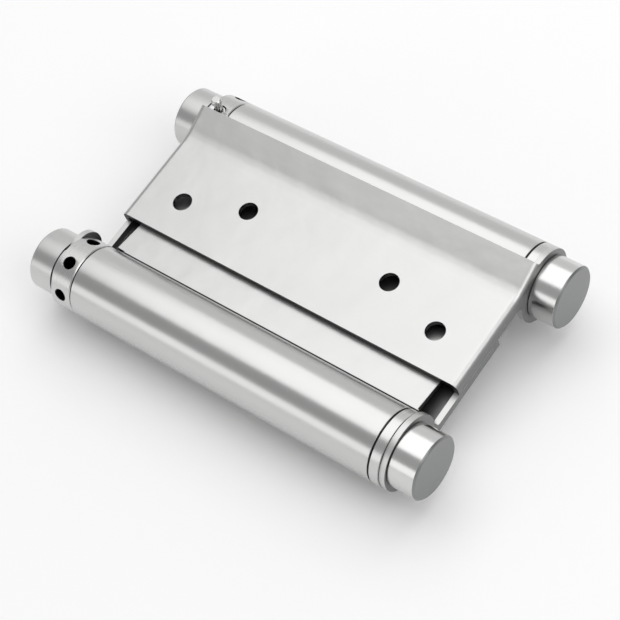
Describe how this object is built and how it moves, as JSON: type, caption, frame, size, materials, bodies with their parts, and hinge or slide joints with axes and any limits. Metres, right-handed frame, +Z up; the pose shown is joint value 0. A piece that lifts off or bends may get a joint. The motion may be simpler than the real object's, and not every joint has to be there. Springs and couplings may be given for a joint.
{
  "type": "double action spring hinge",
  "caption": "Double action spring hinge for a swing door: drilled leaves on spring barrels joined by a centre plate.",
  "frame": {"origin": "midway between the two barrel axes, at the middle of their length", "axes": "+X along the barrels towards the fixed plugs, +Y from the lower leaf's barrel to the upper leaf's barrel, +Z up out of the upper leaf with the hinge lying closed"},
  "size_m": [0.144, 0.092, 0.0338],
  "materials": {
    "satin_steel": "satin stainless steel sheet and bar",
    "polished_steel": "polished stainless steel, turned",
    "turned_steel": "turned stainless steel",
    "spring_steel": "oiled spring wire",
    "bush_nylon": "black nylon"
  },
  "bodies": {
    "centre": {"centre_plate": "satin_steel", "upper_spindle": "turned_steel", "upper_spring": "spring_steel", "upper_fixed_plug": "satin_steel", "upper_cap_plug_end": "polished_steel", "upper_cap_collar_end": "polished_steel", "lower_spindle": "turned_steel", "lower_spring": "spring_steel", "lower_fixed_plug": "satin_steel", "lower_cap_plug_end": "polished_steel", "lower_cap_collar_end": "polished_steel"},
    "upper_leaf_set": {"upper_leaf": "satin_steel", "upper_bush_plug_end": "bush_nylon", "upper_bush_collar_end": "bush_nylon"},
    "upper_collar_set": {"upper_adjusting_collar": "satin_steel", "upper_stop_pin": "turned_steel"},
    "lower_leaf_set": {"lower_leaf": "satin_steel", "lower_bush_plug_end": "bush_nylon", "lower_bush_collar_end": "bush_nylon"},
    "lower_collar_set": {"lower_adjusting_collar": "satin_steel", "lower_stop_pin": "turned_steel"}
  },
  "joints": [
    {"name": "upper_leaf_swing", "type": "hinge", "parent": "centre", "child": "upper_leaf_set", "pos_m": [0, 0.0345, 0], "axis": [-1, 0, 0], "range_deg": [0, 180], "stiffness_Nm_per_rad": 0.6, "springref_deg": -110.01, "deforming": ["upper_spring"]},
    {"name": "upper_collar_winding", "type": "hinge", "parent": "upper_leaf_set", "child": "upper_collar_set", "pos_m": [0, 0.0345, 0], "axis": [-1, 0, 0], "range_deg": [0, 60], "stiffness_Nm_per_rad": 0.6, "springref_deg": -110.01, "deforming": ["upper_spring"]},
    {"name": "lower_leaf_swing", "type": "hinge", "parent": "centre", "child": "lower_leaf_set", "pos_m": [0, -0.0345, 0], "axis": [-1, 0, 0], "range_deg": [0, 180], "stiffness_Nm_per_rad": 0.6, "springref_deg": -110.01, "deforming": ["lower_spring"]},
    {"name": "lower_collar_winding", "type": "hinge", "parent": "lower_leaf_set", "child": "lower_collar_set", "pos_m": [0, -0.0345, 0], "axis": [-1, 0, 0], "range_deg": [0, 60], "stiffness_Nm_per_rad": 0.6, "springref_deg": -110.01, "deforming": ["lower_spring"]}
  ]
}
